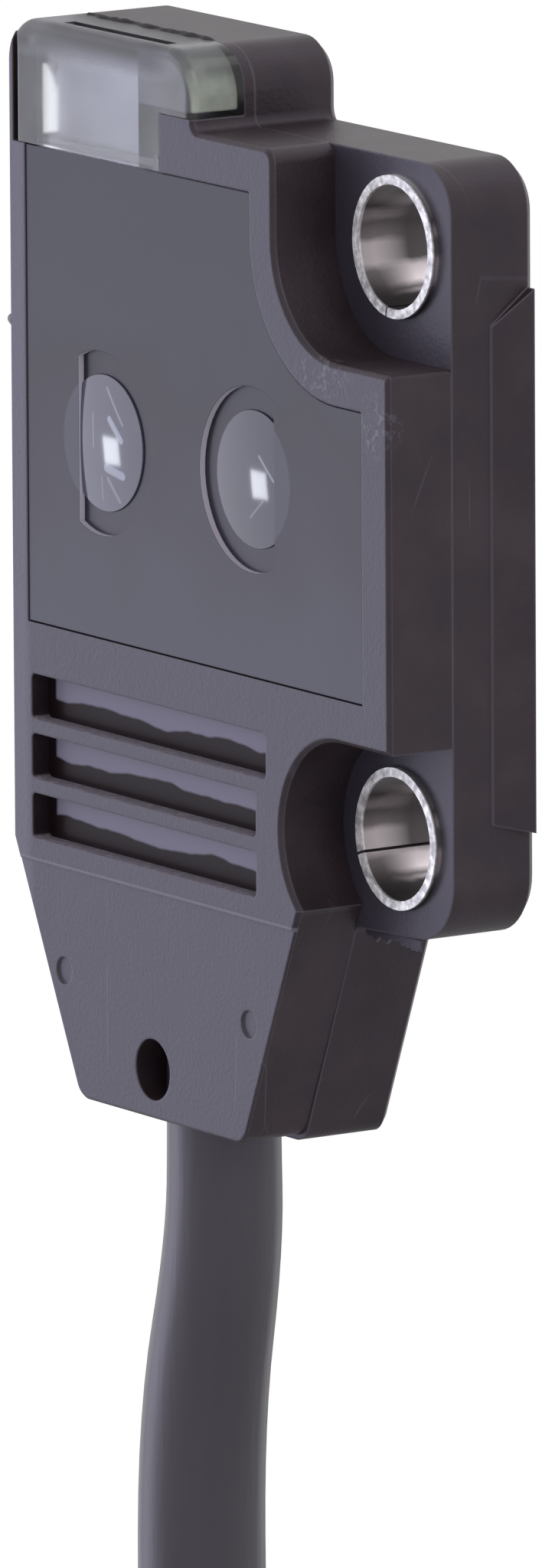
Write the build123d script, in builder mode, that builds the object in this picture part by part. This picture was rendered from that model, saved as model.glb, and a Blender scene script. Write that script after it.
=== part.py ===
from build123d import *
from math import cos, pi, radians, sin, tan
import os

os.makedirs("parts", exist_ok=True)

# A flat photoelectric sensor head with a moulded cable, in millimetres.
# X runs to the right as the lenses are seen, Y from the lenses to the back, Z up.
# The origin lies on the back face, halfway between the two screw holes.

# Housing outline, seen from the lens side
width = 18.55
front_depth = 2.05
rear_depth = 2.7
hole_spacing = 16.0
hole_to_side = 2.5
block_width = 9.15
block_rise = 4.55
ear_rise = 2.4
ear_drop = 2.75
ear_slant = 0.2
bottom_drop = 8.9
bottom_left_inset = 3.2
bottom_step = 0.15
bottom_right_inset = 7.25
shoulder_inset = 4.45
shoulder_drop = 2.2
taper_drop = 2.1
block_corner = 1.2
ear_corner = 1.4
foot_corner = 1.7
bottom_corner = 0.6
inner_corner = 0.3
spill = 1.0
back_edge = 0.25
front_edge = 0.12

# Screw pockets in the front shell and the sleeves in the rear shell
upper_pocket_r = 3.0
lower_pocket_r = 2.78
pocket_corner = 0.4
sleeve_r = 1.93
sleeve_wall = 0.25
sleeve_proud = 0.2
sleeve_gap = 0.08
upper_seam_angle = -100
lower_seam_angle = 200

# Walls, cavity and circuit board
side_wall = 0.85
front_wall = 0.8
back_wall = 0.8
board_seat = 0.5
board_sink = 0.55
board_thickness = 0.8
board_clearance = 0.1
wing_wall = 1.5
wing_rise = 4.1
wing_top_drop = 4.0
foot_room = 4.4
cap_overlap = 0.1

# Smoked window plate with its lenses
window_left = 0.9
window_right = 1.3
window_rise = 1.1
window_foot = 4.0
window_step = 4.15
window_thickness = 0.8
window_ledge = 0.45
window_clearance = 0.04
window_recess = 0.03
opening_left = 1.65
opening_right = 3.8
opening_top = 4.2
opening_bottom = 9.1
opening_corner = 0.3
lens_r = 1.87
lens_edge = 0.05
lens_rise = 0.1
lens_drop = 6.65
lens_from_left = 4.54
lens_from_right = 6.61
recess_r = 2.53
recess_flat = 1.1
recess_depth = 0.17

# Slots over the potting, and marks left by the mould
slot_height = 1.27
slot_pitch = 1.65
slot_rise = 2.55
slot_left = 1.0
slot_end_walls = (0.67, 1.17, 1.17)
slot_corner = 0.18
slot_room_wall = 0.57
slot_room_rise = 0.15
potting_depth = 0.55
potting_rise = 3.1
crease_rise = 6.25
crease_depth = 0.06
port_r = 0.85
port_offset = 0.4
port_rise = 1.35
pin_mark_r = 0.38
pin_mark_depth = 0.07
left_mark_inset = 2.45
left_mark_rise = 3.4
right_mark_inset = 2.5
right_mark_rise = 3.35
nub_r = 0.27
nub_root = 0.1
nub_drop = 3.86
pad_thickness = 0.33
pad_front_thickness = 0.05
pad_reach = 1.45
pad_top_drop = 1.0
pad_foot_rise = 0.3
pad_top_slant = 0.95
pad_foot_slant = 0.3

# Clear indicator cap at the top of the front shell
cap_seat = 0.35
cap_wall = 0.45
cap_left = 0.3
cap_right = 1.6
cap_post_width = 1.3
cap_rise = 1.15
cap_end_rise = 2.75
cap_roof = 0.55
cap_edge = 0.32
cap_groove_left = 2.25
cap_groove_right = 1.8
cap_groove_width = 0.35
cap_groove_depth = 0.25
cap_groove_setback = 0.4
cap_clearance = 0.02
light_gap_front = 1.25
light_gap_low = 2.05
light_gap_high = 1.5
light_gap_rise = 3.15
light_gap_foot = 0.05
light_gap_bulge = 0.2
light_gap_lift = 0.3

# Electronics on the board
barrier_clearance = 0.1
light_bore_r = 1.3
light_bore_taper = 15
emitter_size = 1.6
emitter_height = 0.55
emitter_dome_r = 0.5
diode_size = 1.8
diode_height = 0.7
chip_size = 3.4
chip_height = 0.75
chip_from_left = 2.9
chip_drop = 1.8
driver_width = 1.6
driver_length = 2.9
driver_height = 0.9
driver_from_right = 2.85
driver_drop = 1.7
passive_width = 0.6
passive_length = 1.1
passive_height = 0.45
passive_count = 6
passive_margin = 1.75
capacitor_drop = 10.3
resistor_drop = 11.8
package_edge = 0.12
indicator_width = 0.8
indicator_length = 1.2
indicator_height = 0.5
indicator_from_left = 1.7
indicator_from_post = 1.3
indicator_window = 0.2
tray_flange = 0.15
tray_skin = 0.25
solder_r = 0.55
solder_height = 0.7
solder_rise = 7.0
solder_edge = 0.15

# Cable, its grip in the housing and the wires at each end
cable_d = 3.4
neck_d = 3.1
cable_sink = 0.05
grip_height = 1.4
grip_wall = 0.8
grip_back = 0.5
grip_rise = 1.6
grip_reach = 0.9
wire_d = 0.95
wire_lift = 0.12
wire_spread = 1.0
pad_spread = 1.9
wire_length = 35.0
bare_d = 0.55
bare_length = 5.0

# Hank that takes up the cable, its tie and the free end
hank_run = 43.0
hank_bend = 3.0 * cable_d
hank_rounds = 3
hank_layers = 4
hank_drop = 22.5
tie_width = 3.0
tie_thickness = 0.8
tail_length = 16.0
tail_sway = 0.3
tail_lean = 0.4

# Places that follow from the sizes above
depth = rear_depth + front_depth
left = hole_to_side - width
right = hole_to_side
upper = hole_spacing / 2
lower = -hole_spacing / 2
block_top = upper + block_rise
block_right = left + block_width
ear_top = upper + ear_rise
ear_bottom = lower - ear_drop
bottom = lower - bottom_drop
bottom_left = left + bottom_left_inset
bottom_right = right - bottom_right_inset
shoulder_x = right - shoulder_inset
shoulder_z = lower - shoulder_drop
taper_z = lower - taper_drop
taper_slope = (shoulder_x - bottom_right) / (shoulder_z - bottom)
foot_x = shoulder_x - taper_slope * (shoulder_z - ear_bottom)
board_front = rear_depth - board_sink
board_back = board_front - board_thickness
wall_back = depth - front_wall
window_front = depth - window_recess
window_back = window_front - window_thickness
cable_x = (bottom_left + bottom_right) / 2
cable_y = cable_sink - rear_depth
grip_width = bottom_right - bottom_left - 2 * grip_wall
lens_z = upper - lens_drop
emitter_x = left + lens_from_left
receiver_x = right - lens_from_right
sleeve_front = rear_depth + sleeve_proud
cavity_front = window_back - window_ledge
recess_floor = window_front - recess_depth
lens_rim = recess_floor + lens_edge
cap_back = rear_depth + cap_seat
cap_depth = front_depth - cap_seat
cap_end = block_right - cap_right
cap_post = cap_end - cap_post_width
opening_width = width - opening_left - opening_right
opening_height = opening_bottom - opening_top
slot_top = lower + slot_rise
slot_stack = 2 * slot_pitch + slot_height
slot_ends = [-lower_pocket_r - wall for wall in slot_end_walls]
slot_room_end = -lower_pocket_r - slot_room_wall


def level(height):
    """Plane parallel to the back face, facing the lens side, at a height above the back face."""
    return Plane.XZ.offset(height)


def round_corners(sketch, rounding):
    """Rounds the corner of a sketch that lies nearest to each point."""
    for point, radius in rounding:
        fillet(sketch.vertices().sort_by_distance(Vector(*point))[0], radius)


block_left_corner = (left, block_top)
block_right_corner = (block_right, block_top)
step_corner = (block_right, ear_top)
foot_point = (foot_x, ear_bottom)
bottom_corners = ((bottom_right, bottom), (bottom_left, bottom))
housing_corners = (
    (left, taper_z),
    block_left_corner,
    block_right_corner,
    step_corner,
    (right, ear_top),
    (right, ear_bottom + ear_slant),
    foot_point,
)
common_rounding = [
    (block_left_corner, block_corner),
    (block_right_corner, block_corner),
    (step_corner, inner_corner),
    (bottom_corners[0], bottom_corner),
    (bottom_corners[1], bottom_corner),
]

# The outline of the rear shell carries both screw ears, and stands a little below the front shell's foot
rear_foot = bottom - bottom_step
with BuildSketch(level(0)) as rear_outline:
    with BuildLine():
        Polyline(*housing_corners, (bottom_right, rear_foot), (bottom_left, rear_foot), close=True)
    make_face()
    ear_rounding = [
        ((right, ear_top), ear_corner),
        ((right, ear_bottom + ear_slant), foot_corner),
        (foot_point, inner_corner),
    ]
    round_corners(rear_outline, common_rounding + ear_rounding)

# The outline of the front shell leaves both ears open, along arcs about the screws
with BuildSketch(level(rear_depth)) as front_outline:
    with BuildLine():
        Polyline(*housing_corners, *bottom_corners, close=True)
    make_face()
    with Locations((0, upper)):
        Circle(upper_pocket_r, mode=Mode.SUBTRACT)
    with Locations((-upper_pocket_r, upper)):
        Rectangle(
            upper_pocket_r + right + spill,
            ear_rise + spill,
            align=(Align.MIN, Align.MIN),
            mode=Mode.SUBTRACT,
        )
    with Locations((0, upper)):
        Rectangle(right + spill, upper_pocket_r, align=(Align.MIN, Align.MAX), mode=Mode.SUBTRACT)
    with Locations((0, lower)):
        Circle(lower_pocket_r, mode=Mode.SUBTRACT)
        Rectangle(right + spill, lower_pocket_r, align=(Align.MIN, Align.MIN), mode=Mode.SUBTRACT)
    with BuildLine():
        Polyline(
            (0, lower),
            (shoulder_x, shoulder_z),
            foot_point,
            (foot_x + spill, ear_bottom - spill),
            (right + spill, ear_bottom - spill),
            (right + spill, lower),
            close=True,
        )
    make_face(mode=Mode.SUBTRACT)
    pocket_rounding = [
        ((-upper_pocket_r, ear_top), pocket_corner),
        ((right, upper - upper_pocket_r), front_edge),
    ]
    round_corners(front_outline, common_rounding + pocket_rounding)

# The room for the board: a tall field, a wing beside the lenses and a foot over the cable
field_left = left + side_wall
field_right = -upper_pocket_r - side_wall
field_top = upper + cap_rise + cap_overlap
block_room_top = block_top - side_wall
wing_right = right - wing_wall
wing_top = upper - wing_top_drop
wing_bottom = lower + wing_rise
foot_z = bottom + foot_room
foot_run = taper_z - foot_z
left_slope = bottom_left_inset / (taper_z - bottom)
cavity_corners = (
    (field_left, taper_z),
    (field_left, block_room_top),
    (cap_post, block_room_top),
    (cap_post, field_top),
    (field_right, field_top),
    (field_right, wing_top),
    (wing_right, wing_top),
    (wing_right, wing_bottom),
    (field_right, wing_bottom),
    (field_right, shoulder_z),
    (bottom_right + taper_slope * foot_room - side_wall, foot_z),
    (field_left + left_slope * foot_run, foot_z),
)
with BuildSketch(level(0)) as cavity:
    with BuildLine():
        Polyline(*cavity_corners, close=True)
    make_face()
    fillet(cavity.vertices(), inner_corner)
with BuildSketch(level(0)) as seat_pocket:
    with BuildLine():
        Polyline(*cavity_corners, close=True)
    make_face()
    offset(amount=-board_seat, kind=Kind.INTERSECTION, mode=Mode.REPLACE)

# Rear shell: a tray for the board, with two solid ears that hold the sleeves
with BuildPart() as rear_shell:
    extrude(rear_outline.sketch, amount=rear_depth)
    chamfer(rear_shell.faces().sort_by(Axis.Y)[-1].edges(), back_edge)
    with BuildSketch(Plane.YZ.offset(right)):
        with BuildLine():
            Polyline(
                (-back_edge, upper - pad_top_drop),
                (-pad_reach, upper - pad_top_drop - pad_top_slant),
                (-pad_reach, lower + pad_foot_rise + pad_foot_slant),
                (-back_edge, lower + pad_foot_rise),
                close=True,
            )
        make_face()
    extrude(amount=pad_thickness)
    with BuildSketch(Plane.XY.offset(lower)):
        with BuildLine():
            Polyline(
                (right + pad_front_thickness, -pad_reach - spill),
                (right + pad_front_thickness, -pad_reach),
                (right + pad_thickness, -back_edge),
                (right + pad_thickness + spill, -back_edge),
                (right + pad_thickness + spill, -pad_reach - spill),
                close=True,
            )
        make_face()
    extrude(amount=hole_spacing, mode=Mode.SUBTRACT)
    with BuildSketch(level(board_back)):
        add(cavity.sketch_local)
    extrude(amount=rear_depth - board_back, mode=Mode.SUBTRACT)
    with BuildSketch(level(back_wall)):
        add(seat_pocket.sketch_local)
    extrude(amount=board_back - back_wall, mode=Mode.SUBTRACT)
    with BuildSketch(level(0)):
        with Locations((0, upper), (0, lower)):
            Circle(sleeve_r)
    extrude(amount=rear_depth, mode=Mode.SUBTRACT)
    with BuildSketch(Plane.XY.offset(rear_foot)):
        with Locations((cable_x, cable_y)):
            Circle(neck_d / 2)
    extrude(amount=foot_room + bottom_step, mode=Mode.SUBTRACT)
    with BuildSketch(Plane.XY.offset(bottom + grip_rise)):
        with Locations((cable_x, cable_y + neck_d / 2 + grip_back)):
            Rectangle(grip_width, depth, align=(Align.CENTER, Align.MAX))
    extrude(amount=grip_height, mode=Mode.SUBTRACT)
rear_shell.part.label = "rear_shell"


def cap_region(grow):
    """Face of the corner that the clear cap fills, grown by a clearance."""
    points = (
        (left + cap_left - grow, upper + cap_rise - grow),
        (cap_end + grow, upper + cap_rise - grow),
        (cap_end + grow, upper + cap_end_rise - grow),
        (block_right + spill, upper + cap_end_rise - grow),
        (block_right + spill, block_top + spill),
        (left + cap_left - grow, block_top + spill),
    )
    with BuildSketch() as region:
        with BuildLine():
            Polyline(*points, close=True)
        make_face()
    return region.sketch


def window_region(grow):
    """Face of the smoked plate, cut back along an arc about the upper screw, grown by a clearance."""
    step_r = window_step - grow
    low = lower + window_foot - grow
    side = right - window_right + grow
    with BuildSketch() as region:
        with BuildLine():
            Polyline(
                (0, upper - step_r),
                (side, upper - step_r),
                (side, low),
                (left + window_left - grow, low),
                (left + window_left - grow, upper + window_rise + grow),
                (-step_r, upper + window_rise + grow),
                (-step_r, upper),
            )
            RadiusArc((-step_r, upper), (0, upper - step_r), -step_r)
        make_face()
    return region.sketch


# Front shell: window seat, slots over the potting, cap seat, cable half bore and mould marks
with BuildPart() as front_shell:
    extrude(front_outline.sketch, amount=front_depth)
    chamfer(front_shell.faces().sort_by(Axis.Y)[0].edges(), front_edge)
    with BuildSketch(level(rear_depth)):
        add(cavity.sketch_local)
    extrude(amount=cavity_front - rear_depth, mode=Mode.SUBTRACT)
    with BuildSketch(level(window_back)):
        add(window_region(window_clearance))
    extrude(amount=front_depth, mode=Mode.SUBTRACT)
    with BuildSketch(level(cavity_front)) as lens_opening:
        with Locations((left + opening_left, upper - opening_bottom)):
            Rectangle(opening_width, opening_height, align=(Align.MIN, Align.MIN))
        fillet(lens_opening.vertices(), opening_corner)
    extrude(amount=window_ledge, mode=Mode.SUBTRACT)
    with BuildSketch(level(cavity_front)):
        with Locations((left + side_wall, slot_top + slot_room_rise)):
            Rectangle(
                slot_room_end - left - side_wall,
                slot_stack + 2 * slot_room_rise,
                align=(Align.MIN, Align.MAX),
            )
    extrude(amount=wall_back - cavity_front, mode=Mode.SUBTRACT)
    for index, slot_end in enumerate(slot_ends):
        with BuildSketch(level(wall_back)) as slot:
            with Locations((left + slot_left, slot_top - index * slot_pitch)):
                Rectangle(slot_end - left - slot_left, slot_height, align=(Align.MIN, Align.MAX))
            fillet(slot.vertices(), slot_corner)
        extrude(amount=front_wall, mode=Mode.SUBTRACT)
    with BuildSketch(level(cap_back)):
        add(cap_region(cap_clearance))
    extrude(amount=front_depth, mode=Mode.SUBTRACT)
    with BuildSketch(level(rear_depth)):
        with Locations((left + cap_left, upper + cap_rise)):
            Rectangle(
                cap_post - left - cap_left,
                block_rise - cap_rise - cap_roof,
                align=(Align.MIN, Align.MIN),
            )
    extrude(amount=front_depth, mode=Mode.SUBTRACT)
    with BuildSketch(Plane.YZ.offset(left - spill)):
        with BuildLine():
            Polyline(
                (light_gap_high - depth, upper + light_gap_rise),
                (light_gap_front - depth, upper + light_gap_rise),
                (light_gap_front - depth, upper + cap_rise + light_gap_foot),
                (light_gap_low - depth, upper + cap_rise + light_gap_foot),
            )
            ThreePointArc(
                (light_gap_low - depth, upper + cap_rise + light_gap_foot),
                (
                    light_gap_low - light_gap_bulge - depth,
                    upper + (cap_rise + light_gap_rise) / 2 + light_gap_lift,
                ),
                (light_gap_high - depth, upper + light_gap_rise),
            )
        make_face()
    extrude(amount=1 + cap_left, mode=Mode.SUBTRACT)
    with BuildSketch(level(depth - crease_depth)):
        with Locations((left, bottom + crease_rise)):
            Rectangle(width, bottom_drop, align=(Align.MIN, Align.MAX))
    extrude(amount=1, mode=Mode.SUBTRACT)
    with BuildSketch(level(depth - crease_depth - pin_mark_depth)):
        with Locations(
            (left + left_mark_inset, bottom + left_mark_rise),
            (shoulder_x - right_mark_inset, bottom + right_mark_rise),
        ):
            Circle(pin_mark_r)
    extrude(amount=1, mode=Mode.SUBTRACT)
    with BuildSketch(level(rear_depth)):
        with Locations((cable_x - port_offset, bottom + port_rise)):
            Circle(port_r)
    extrude(amount=front_depth, mode=Mode.SUBTRACT)
    with BuildSketch(Plane.XY.offset(bottom)):
        with Locations((cable_x, cable_y)):
            Circle(neck_d / 2)
    extrude(amount=foot_room, mode=Mode.SUBTRACT)
    with BuildSketch(Plane.XY.offset(bottom + grip_rise)):
        with Locations((cable_x, -rear_depth)):
            Rectangle(grip_width, grip_reach, align=(Align.CENTER, Align.MAX))
    extrude(amount=grip_height, mode=Mode.SUBTRACT)
    with Locations(Location((left + nub_root, -depth + nub_r, upper - nub_drop), (0, -90, 0))):
        Cone(nub_r, nub_r / 2, nub_r + nub_root, align=(Align.CENTER, Align.CENTER, Align.MIN))
front_shell.part.label = "front_shell"

# Clear cap: a hood with a solid right end, let into the corner of the front shell
with BuildPart() as indicator_cap:
    with BuildSketch(level(cap_back)):
        add(front_outline.sketch_local)
        add(cap_region(0), mode=Mode.INTERSECT)
    extrude(amount=cap_depth)
    cap_front = indicator_cap.faces().sort_by(Axis.Y)[0]
    end_z = upper + cap_end_rise + cap_clearance
    end_edges = cap_front.edges().filter_by(lambda edge: edge.center().Z > end_z)
    left_edge = cap_front.edges().filter_by(Axis.Z).sort_by(Axis.X)[0]
    fillet([*end_edges, left_edge], cap_edge)
    with BuildSketch(level(cap_back)):
        with Locations((left, upper)):
            Rectangle(cap_post - left, block_rise - cap_roof, align=(Align.MIN, Align.MIN))
    extrude(amount=cap_depth - cap_wall, mode=Mode.SUBTRACT)
    with BuildSketch(Plane.XY.offset(block_top - cap_groove_depth)):
        with Locations((left + cap_groove_left, cap_groove_setback - depth)):
            Rectangle(
                block_width - cap_groove_left - cap_groove_right,
                cap_groove_width,
                align=(Align.MIN, Align.MIN),
            )
    extrude(amount=1, mode=Mode.SUBTRACT)
indicator_cap.part.label = "indicator_cap"

# Two convex lenses behind the smoked plate
lens_curve_r = (lens_r**2 + lens_rise**2) / (2 * lens_rise)
lenses = []
for name, lens_x in (("emitter_lens", emitter_x), ("receiver_lens", receiver_x)):
    with BuildPart() as lens:
        with BuildSketch(Plane((lens_x, 0, lens_z), x_dir=(1, 0, 0), z_dir=(0, 0, 1))):
            with BuildLine():
                Polyline(
                    (0, -lens_rim - lens_rise),
                    (0, -window_back),
                    (lens_r, -window_back),
                    (lens_r, -lens_rim),
                )
                RadiusArc((lens_r, -lens_rim), (0, -lens_rim - lens_rise), lens_curve_r)
            make_face()
        revolve(axis=Axis((lens_x, 0, lens_z), (0, 1, 0)))
    lens.part.label = name
    lenses.append(lens)

# Smoked plate: a D-shaped recess frees each lens on the side that faces the other
with BuildPart() as optical_window:
    with BuildSketch(level(window_back)):
        add(window_region(0))
    extrude(amount=window_thickness)
    for lens_x, outward in ((emitter_x, -1), (receiver_x, 1)):
        with BuildSketch(level(recess_floor)):
            with Locations((lens_x, lens_z)):
                Circle(recess_r)
            with Locations((lens_x + outward * recess_flat, lens_z)):
                Rectangle(
                    2 * recess_r,
                    2 * recess_r,
                    align=(Align.MIN if outward > 0 else Align.MAX, Align.CENTER),
                    mode=Mode.SUBTRACT,
                )
        extrude(amount=1, mode=Mode.SUBTRACT)
    for lens in lenses:
        add(lens.part, mode=Mode.SUBTRACT)
optical_window.part.label = "optical_window"


def sleeve(name, z, seam_angle):
    """Bush rolled from strip, open along a narrow seam."""
    with BuildPart() as bush:
        with BuildSketch(level(0)):
            with Locations((0, z)):
                Circle(sleeve_r)
                Circle(sleeve_r - sleeve_wall, mode=Mode.SUBTRACT)
                Rectangle(
                    2 * sleeve_r,
                    sleeve_gap,
                    rotation=seam_angle,
                    align=(Align.MIN, Align.CENTER),
                    mode=Mode.SUBTRACT,
                )
        extrude(amount=sleeve_front)
    bush.part.label = name
    return bush


upper_sleeve = sleeve("upper_sleeve", upper, upper_seam_angle)
lower_sleeve = sleeve("lower_sleeve", lower, lower_seam_angle)

# Circuit board, resting on the step inside the rear shell
with BuildPart() as circuit_board:
    with BuildSketch(level(board_back)):
        add(cavity.sketch_local)
        offset(amount=-board_clearance, mode=Mode.REPLACE)
    extrude(amount=board_thickness)
circuit_board.part.label = "circuit_board"

# Black block that keeps the two light paths apart
with BuildPart() as light_barrier:
    with BuildSketch(level(board_front)) as barrier_outline:
        with Locations((left + opening_left + barrier_clearance, upper - opening_bottom + barrier_clearance)):
            Rectangle(
                opening_width - 2 * barrier_clearance,
                opening_height - 2 * barrier_clearance,
                align=(Align.MIN, Align.MIN),
            )
        fillet(barrier_outline.vertices(), opening_corner - barrier_clearance)
    extrude(amount=window_back - board_front)
    with BuildSketch(level(board_front)):
        with Locations((emitter_x, lens_z), (receiver_x, lens_z)):
            Circle(light_bore_r)
    extrude(amount=window_back - board_front, taper=-light_bore_taper, mode=Mode.SUBTRACT)
light_barrier.part.label = "light_barrier"

# Light source and light detector, each on the axis of its lens
with BuildPart() as emitter_led:
    with BuildSketch(level(board_front)):
        with Locations((emitter_x, lens_z)):
            Rectangle(emitter_size, emitter_size)
    extrude(amount=emitter_height)
    with Locations((emitter_x, -board_front - emitter_height, lens_z)):
        Sphere(emitter_dome_r)
emitter_led.part.label = "emitter_led"

with BuildPart() as receiver_diode:
    with BuildSketch(level(board_front)):
        with Locations((receiver_x, lens_z)):
            Rectangle(diode_size, diode_size)
    extrude(amount=diode_height)
    chamfer(receiver_diode.faces().sort_by(Axis.Y)[0].edges(), diode_height / 4)
receiver_diode.part.label = "receiver_diode"


def board_package(name, places, across, along, height, edge):
    """Packages of one kind, standing on the front of the board."""
    with BuildPart() as packages:
        with BuildSketch(level(board_front)):
            with Locations(*places):
                Rectangle(across, along)
        extrude(amount=height)
        chamfer(packages.faces().filter_by(Axis.Y).sort_by(Axis.Y)[: len(places)].edges(), edge)
    packages.part.label = name
    return packages


chip_places = [(left + chip_from_left, upper - chip_drop)]
driver_places = [(field_right - driver_from_right, upper - driver_drop)]
passive_pitch = (field_right - field_left - 2 * passive_margin) / (passive_count - 1)
passive_columns = [field_left + passive_margin + index * passive_pitch for index in range(passive_count)]
capacitor_places = [(x, upper - capacitor_drop) for x in passive_columns]
resistor_places = [(x, upper - resistor_drop) for x in passive_columns]
control_chip = board_package("control_chip", chip_places, chip_size, chip_size, chip_height, package_edge)
output_driver = board_package(
    "output_driver", driver_places, driver_width, driver_length, driver_height, package_edge
)
chip_capacitors = board_package(
    "chip_capacitors", capacitor_places, passive_width, passive_length, passive_height, package_edge
)
chip_resistors = board_package(
    "chip_resistors", resistor_places, passive_width, passive_length, passive_height / 2, package_edge / 2
)

# Indicator lights and the pale tray over them, whose thin front closes the back of the clear cap
indicator_z = upper + (cap_rise + block_rise - cap_roof) / 2
indicator_places = [
    (left + cap_left + indicator_from_left, indicator_z),
    (cap_post - indicator_from_post, indicator_z),
]
indicators = []
for name, place in zip(("stability_led", "output_led"), indicator_places):
    indicators.append(
        board_package(name, [place], indicator_length, indicator_width, indicator_height, package_edge)
    )

with BuildPart() as indicator_tray:
    with BuildSketch(level(cap_back - tray_flange)):
        with Locations((left + cap_left, upper + cap_rise)):
            Rectangle(
                cap_post - left - cap_left,
                block_rise - cap_rise - cap_roof,
                align=(Align.MIN, Align.MIN),
            )
    extrude(amount=tray_flange)
    with BuildSketch(level(board_front)):
        with Locations((field_left + board_clearance, upper + cap_rise + board_clearance)):
            Rectangle(
                cap_post - field_left - 2 * board_clearance,
                block_room_top - upper - cap_rise - 2 * board_clearance,
                align=(Align.MIN, Align.MIN),
            )
    extrude(amount=cap_back - tray_flange - board_front)
    with BuildSketch(level(board_front)):
        with Locations(*indicator_places):
            Rectangle(
                indicator_length + 2 * indicator_window,
                indicator_width + 2 * indicator_window,
            )
    extrude(amount=cap_back - tray_skin - board_front, mode=Mode.SUBTRACT)
indicator_tray.part.label = "indicator_tray"

# Three wires from the end of the cable jacket up to their solder joints on the board
wire_names = ("brown", "black", "blue")
wire_places = (-1, 0, 1)
wire_y = -board_front - wire_lift - wire_d / 2
solder_z = bottom + solder_rise
inner_wires = []
for colour, place in zip(wire_names, wire_places):
    start = Vector(cable_x + place * wire_spread, wire_y, foot_z)
    end = Vector(cable_x + place * pad_spread, wire_y, solder_z - solder_r)
    with BuildPart() as wire:
        with BuildSketch(Plane(start)):
            Circle(wire_d / 2)
        extrude(amount=(end - start).length, dir=(end - start).normalized())
    wire.part.label = colour + "_inner_wire"
    inner_wires.append(wire)

with BuildPart() as solder_joints:
    with BuildSketch(level(board_front)):
        with Locations(*[(cable_x + place * pad_spread, solder_z) for place in wire_places]):
            Circle(solder_r)
    extrude(amount=solder_height)
    chamfer(solder_joints.faces().filter_by(Axis.Y).sort_by(Axis.Y)[:3].edges(), solder_edge)
solder_joints.part.label = "solder_joints"

# Black resin poured over the lower board, which stands a little way up inside the slots
with BuildPart() as potting:
    with BuildSketch(level(board_front)):
        add(cavity.sketch_local)
        with Locations((left, lower + potting_rise)):
            Rectangle(field_right - left, hole_spacing, align=(Align.MIN, Align.MAX), mode=Mode.INTERSECT)
    extrude(amount=cavity_front - board_front)
    with BuildSketch(level(cavity_front)):
        with Locations((left + side_wall, slot_top + slot_room_rise)):
            Rectangle(
                slot_room_end - left - side_wall,
                slot_stack + 2 * slot_room_rise,
                align=(Align.MIN, Align.MAX),
            )
    extrude(amount=wall_back - cavity_front)
    for index, slot_end in enumerate(slot_ends):
        with BuildSketch(level(wall_back)) as slot_fill:
            with Locations((left + slot_left, slot_top - index * slot_pitch)):
                Rectangle(slot_end - left - slot_left, slot_height, align=(Align.MIN, Align.MAX))
            fillet(slot_fill.vertices(), slot_corner)
        extrude(amount=front_wall - potting_depth)
    for buried in (*inner_wires, solder_joints, chip_capacitors, chip_resistors):
        add(buried.part, mode=Mode.SUBTRACT)
potting.part.label = "potting"

# Saddle that grips the cable jacket between the two shells
with BuildPart() as cord_grip:
    with BuildSketch(Plane.XY.offset(bottom + grip_rise)):
        with Locations((cable_x, cable_y + neck_d / 2 + grip_back)):
            Rectangle(grip_width, neck_d / 2 + grip_back + grip_reach, align=(Align.CENTER, Align.MAX))
        with Locations((cable_x, cable_y)):
            Circle(neck_d / 2, mode=Mode.SUBTRACT)
    extrude(amount=grip_height)
cord_grip.part.label = "cord_grip"

# Cable: a narrow neck out of the housing, then a free run down to the hank
cable_lean_x = -0.72
cable_lean_y = -0.25
cable_start = 0.4
cable_straight = 3.6
cable_leant = 8.6
cable_middle = 15.0
cable_sway = 0.05
hank_top = bottom - hank_drop
hank_x = cable_x + cable_lean_x
hank_y = cable_y + cable_lean_y
cable_route = [
    (cable_x, cable_y, bottom - cable_start),
    (cable_x, cable_y, bottom - cable_straight),
    (hank_x, hank_y, bottom - cable_leant),
    (hank_x - cable_sway, hank_y, bottom - cable_middle),
    (hank_x, hank_y, hank_top - cable_d / 4),
]

run_share = 0.45


def bend_radii(route, stiff_radius):
    """Radius at each inner point of a route, as large as its two runs allow."""
    points = [Vector(*point) for point in route]
    radii = []
    for before, point, after in zip(points, points[1:], points[2:]):
        turn = (point - before).get_angle(after - point)
        shorter = min((point - before).length, (after - point).length)
        radii.append(run_share * shorter / tan(radians(turn / 2)))
    print("radii", [round(radius, 1) for radius in radii], "least wanted", stiff_radius)
    return radii


def tube(route, diameter):
    """Round tube of straight runs joined by tangent arcs."""
    with BuildPart() as run:
        with BuildLine() as path:
            FilletPolyline(*route, radius=bend_radii(route, 5 * diameter))
        centre_line = path.wires()[0]
        with BuildSketch(Plane(route[0], z_dir=centre_line % 0)):
            Circle(diameter / 2)
        sweep()
    section = pi * diameter**2 / 4
    print("volume", round(run.part.volume, 2), "section by length", round(section * centre_line.length, 2))
    return run


# Hank: the rest of the cable in long even turns, as one solid of their outer shape
hank_inside = hank_bend - cable_d / 2
hank_outside = hank_bend + (hank_rounds - 0.5) * cable_d
hank_z = hank_top - hank_outside - hank_run / 2
hank_front = -hank_y + cable_d / 2
hank_thickness = (hank_layers + 1) * cable_d
hank_middle = (hank_inside + hank_outside) / 2
hank_build = hank_outside - hank_inside
with BuildPart() as cable_hank:
    with BuildSketch(level(hank_front)):
        with Locations((hank_x, hank_z)):
            SlotCenterToCenter(hank_run, 2 * hank_outside, rotation=90)
            SlotCenterToCenter(hank_run, 2 * hank_inside, rotation=90, mode=Mode.SUBTRACT)
    extrude(amount=-hank_thickness)
cable_hank.part.label = "cable_hank"

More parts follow.
